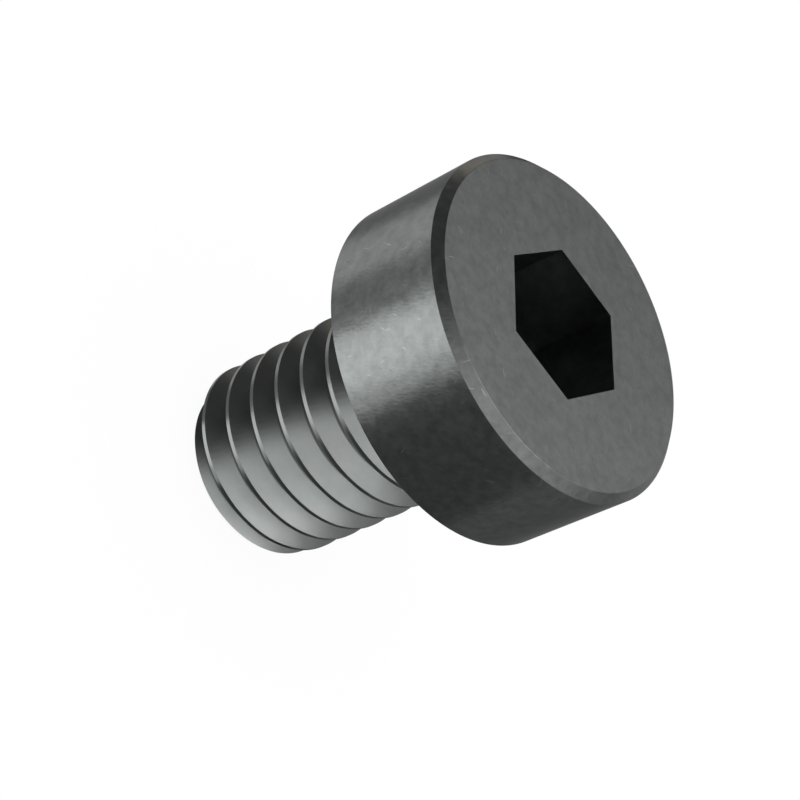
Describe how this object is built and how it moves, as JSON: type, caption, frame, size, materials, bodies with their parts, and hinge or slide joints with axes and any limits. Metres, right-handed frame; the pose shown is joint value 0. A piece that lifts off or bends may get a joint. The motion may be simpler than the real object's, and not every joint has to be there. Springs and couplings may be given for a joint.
{
  "type": "low head socket cap screw",
  "caption": "Low head cap screw with a hexagon socket, a bevelled cylindrical head and a fully threaded right-hand shank.",
  "frame": {"origin": "centre of the flat tip, which the screw stands on", "axes": "+Z along the screw's axis from the tip to the head; +X through a corner of the hexagon socket"},
  "size_m": [0.01, 0.01, 0.0118],
  "materials": {
    "black_steel": "black oxide and oil over cold formed alloy steel, dark grey with a dull metallic sheen"
  },
  "bodies": {
    "root": {"cap_screw": "black_steel"}
  },
  "joints": []
}
